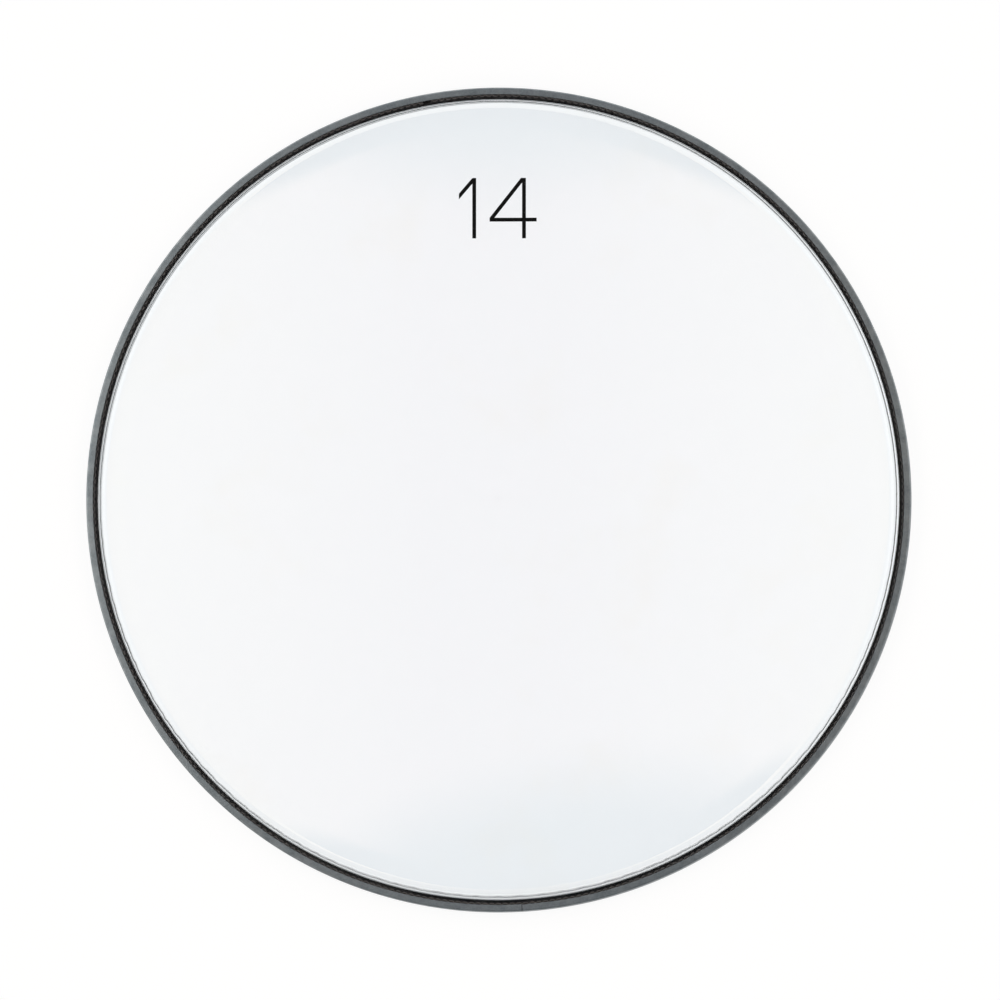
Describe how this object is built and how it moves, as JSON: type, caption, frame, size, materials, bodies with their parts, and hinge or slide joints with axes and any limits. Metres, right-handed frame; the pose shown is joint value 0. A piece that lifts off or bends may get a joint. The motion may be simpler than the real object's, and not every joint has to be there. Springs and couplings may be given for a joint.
{
  "type": "drum head",
  "caption": "Clear drum head: a flat plastic film with a rounded crease and steep collar, locked by a black toothed ring into a rolled grey metal channel hoop.",
  "frame": {"origin": "centre of the hoop's underside, on the head's axis", "axes": "+Z along the head's axis, from the hoop's underside to the playing surface; +Y towards the top of the picture"},
  "size_m": [0.368, 0.368, 0.0166],
  "materials": {
    "hoop_metal": "satin grey rolled aluminium",
    "splice_metal": "mill finish",
    "black_adhesive": "cured black resin",
    "clear_film": "clear glossy polyester film",
    "black_ring": "moulded black plastic"
  },
  "bodies": {
    "root": {"hoop_channel": "hoop_metal", "hoop_splice": "splice_metal", "adhesive_bed": "black_adhesive", "drum_film": "clear_film", "sealing_bead": "black_adhesive", "lock_ring": "black_ring"}
  },
  "joints": []
}
